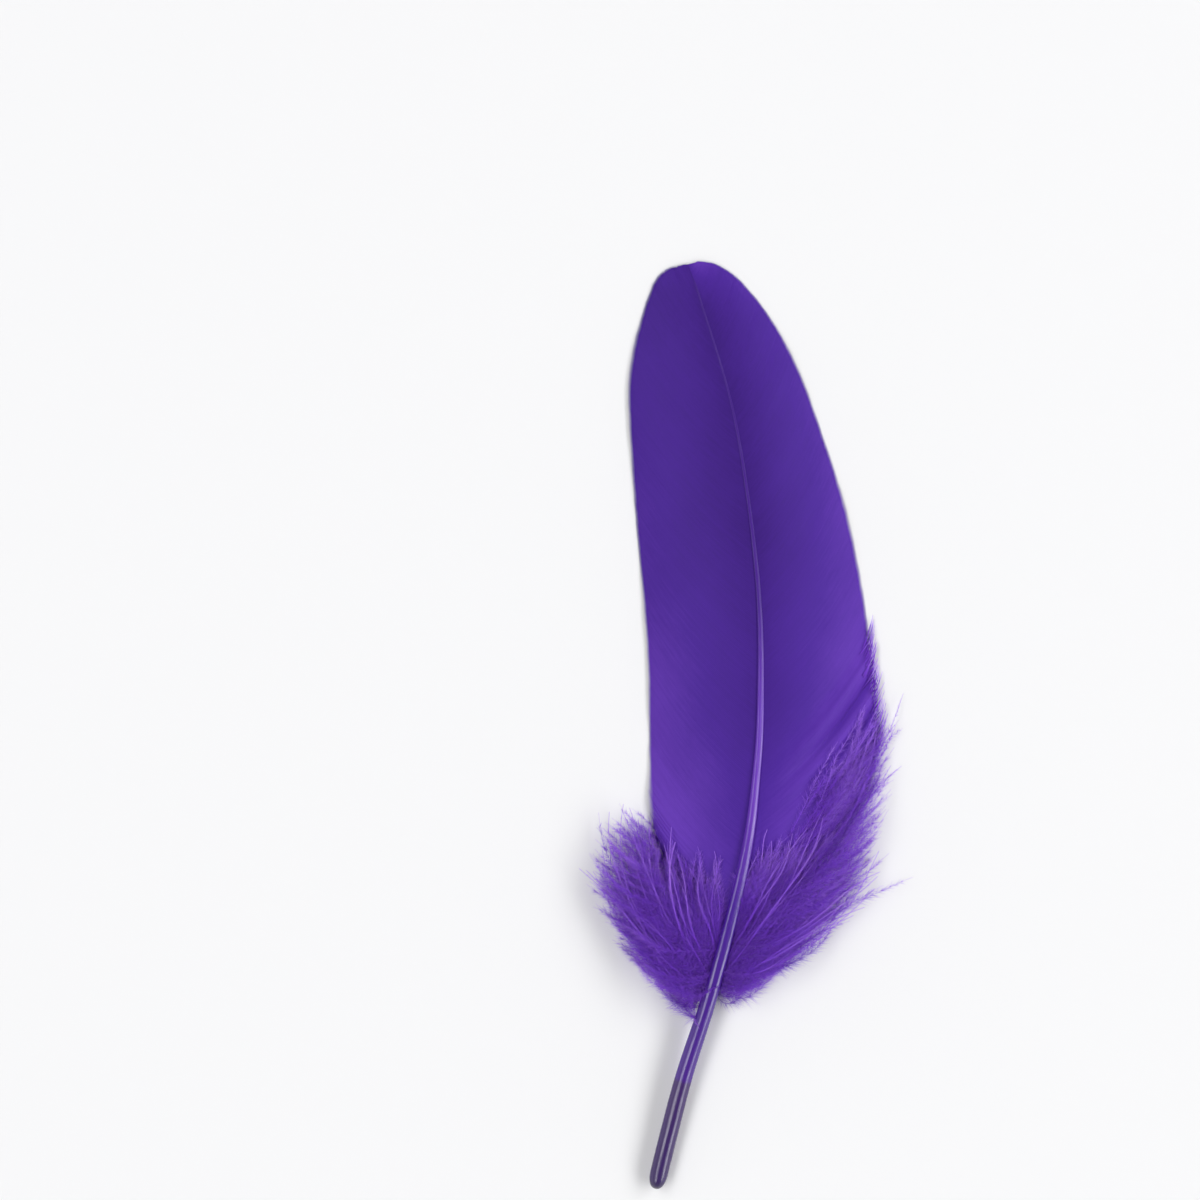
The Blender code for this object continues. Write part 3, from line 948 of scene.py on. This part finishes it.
def quill_material():
    """Glossy dyed horn: near black indigo at the root, clear violet above it, lighter on the rachis's
    middle, which is partly painted highlight, then matt up the rachis.
    """
    material, tree, shader = new_material("dyed_quill", 0.3)
    run = attribute(tree, "run")
    around = attribute(tree, "around")
    share = scaled(tree, run, 1 / QUILL_RUN[-1])
    grain = noise(tree, combine(tree, scaled(tree, run, 0.10), scaled(tree, around, 26.0), 0.0), 1.0, 4.0)
    flecks = noise(tree, combine(tree, scaled(tree, run, 0.9), scaled(tree, around, 9.0), 0.0), 1.0, 3.0)
    wander = maths(tree, "ADD", share, scaled(tree, maths(tree, "SUBTRACT", flecks, 0.5), 0.003))
    colour = ramp(
        tree,
        wander,
        [
            (0.000, (0.010, 0.006, 0.022)),
            (0.012, (0.036, 0.016, 0.092)),
            (0.118, (0.048, 0.019, 0.115)),
            (0.120, (0.064, 0.013, 0.245)),
            (0.200, (0.062, 0.012, 0.260)),
            (0.310, (0.066, 0.014, 0.300)),
            # Partly painted highlight: the lighter stops at 0.42 and 0.52 stand in for the rachis's lilac
            # highlight.
            (0.420, (0.160, 0.043, 0.510)),
            (0.520, (0.140, 0.036, 0.480)),
            (0.630, (0.064, 0.0145, 0.255)),
            (0.740, (0.056, 0.011, 0.235)),
            (1.000, (0.048, 0.010, 0.205)),
        ],
    )
    colour = mix_colour(tree, scaled(tree, grain, 0.35), colour, (0.050, 0.014, 0.210))
    tree.links.new(colour, shader.inputs["Base Color"])
    rough = maths(tree, "ADD", scaled(tree, share, 0.30), scaled(tree, grain, 0.16))
    tree.links.new(maths(tree, "ADD", rough, 0.10), shader.inputs["Roughness"])
    shader.inputs["Specular IOR Level"].default_value = 0.2
    lacquer = ramp(
        tree,
        share,
        [(0.0, (1.0,) * 3), (0.48, (1.0,) * 3), (0.60, (0.35,) * 3), (0.72, (0.1,) * 3)],
    )
    turn = maths(tree, "SINE", scaled(tree, around, 2 * math.pi), 0.0)
    upper = ramp(tree, turn, [(0.50, (0.2,) * 3), (0.88, (1.0,) * 3)])
    tree.links.new(maths(tree, "MULTIPLY", lacquer, upper), shader.inputs["Coat Weight"])
    shader.inputs["Coat Roughness"].default_value = 0.27
    shader.inputs["Coat IOR"].default_value = 1.6
    add_bump(tree, shader, grain, 0.00012, 0.4)
    tree.links.new(shader.inputs["Normal"].links[0].from_socket, shader.inputs["Coat Normal"])
    return material


def down_material():
    """Dyed down: bright violet, lighter towards the tips."""
    material, tree, shader = new_material("dyed_down", 0.7)
    tone = attribute(tree, "barb_tone")
    out = attribute(tree, "out")
    place = add_node(tree, "ShaderNodeTexCoord").outputs["Object"]
    pale = attribute(tree, "pale")
    clouds = noise(tree, place, 150.0, 2.0)
    level = maths(tree, "ADD", scaled(tree, out, 0.50), scaled(tree, tone, 0.18))
    level = maths(tree, "ADD", level, scaled(tree, clouds, 0.24))
    level = maths(tree, "ADD", level, scaled(tree, pale, 0.26))
    colour = ramp(
        tree,
        level,
        [
            (0.15, (0.092, 0.015, 0.350)),
            (0.60, (0.225, 0.050, 0.740)),
            (1.00, (0.480, 0.220, 0.960)),
        ],
    )
    tree.links.new(colour, shader.inputs["Base Color"])
    shader.inputs["Specular IOR Level"].default_value = 0.2
    shader.inputs["Sheen Weight"].default_value = 0.5
    shader.inputs["Sheen Tint"].default_value = (0.55, 0.30, 1.0, 1.0)
    return material


# The floor, the light and the camera

FLOOR_HALF = 1.5
# The soft light of the room by how steeply it comes down: bright from the sides, dim from above.
ROOM_LIGHT = [(0.10, (0.90,) * 3), (0.30, (0.60,) * 3), (0.72, (0.05,) * 3)]


def make_floor():
    material, tree, shader = new_material("pale_floor", 0.8)
    shader.inputs["Base Color"].default_value = (0.86, 0.86, 0.87, 1.0)
    shader.inputs["Specular IOR Level"].default_value = 0.1
    half = FLOOR_HALF
    mesh = bpy.data.meshes.new("floor")
    corners = [(-half, -half, 0), (half, -half, 0), (half, half, 0), (-half, half, 0)]
    mesh.from_pydata(corners, [], [(0, 1, 2, 3)])
    mesh.materials.append(material)
    floor = bpy.data.objects.new("floor", mesh)
    bpy.context.scene.collection.objects.link(floor)


def add_softbox(name, place, size, power):
    """An area light at a place in metres that faces the feather: its length lies along Y."""
    light = bpy.data.lights.new(name, "AREA")
    light.shape = "RECTANGLE"
    light.size_y, light.size = size
    light.energy = power
    box = bpy.data.objects.new(name, light)
    box.location = place
    box.rotation_euler = (-Vector(place)).to_track_quat("-Z", "Y").to_euler()
    bpy.context.scene.collection.objects.link(box)


def light_studio():
    add_softbox("softbox_left", (-1.38, 0.0, 1.98), (0.84, 3.9), 47.0)
    add_softbox("softbox_right", (1.86, 0.0, 1.44), (0.93, 3.9), 53.5)
    world = bpy.data.worlds.new("studio")
    world.use_nodes = True
    tree = world.node_tree
    direction = add_node(tree, "ShaderNodeSeparateXYZ")
    tree.links.new(add_node(tree, "ShaderNodeTexCoord").outputs["Generated"], direction.inputs[0])
    room = ramp(tree, direction.outputs["Z"], ROOM_LIGHT)
    tree.links.new(room, tree.nodes["Background"].inputs["Color"])
    scene = bpy.context.scene
    scene.world = world
    scene.view_settings.view_transform = "Standard"
    scene.view_settings.look = "None"


def make_camera():
    data = bpy.data.cameras.new("camera")
    data.lens = CAMERA_LENS
    data.sensor_width = CAMERA_SENSOR
    camera = bpy.data.objects.new("camera", data)
    height = PICTURE_WIDTH * CAMERA_LENS / CAMERA_SENSOR
    camera.location = Vector((*PICTURE_MIDDLE, height)) * MM
    bpy.context.scene.collection.objects.link(camera)
    bpy.context.scene.camera = camera


def main():
    vane = vane_material()
    down = down_material()
    lock_rng = random.Random(LOCK_SEED)
    make_quill(quill_material())
    for side in LOCKS:
        vane_piece = make_vane(side, vane)
        surface = vane_heights(vane_piece)
        make_down(side, down, lock_rng, surface)
        make_loose_down(side, down, surface)
    make_floor()
    light_studio()
    make_camera()


main()
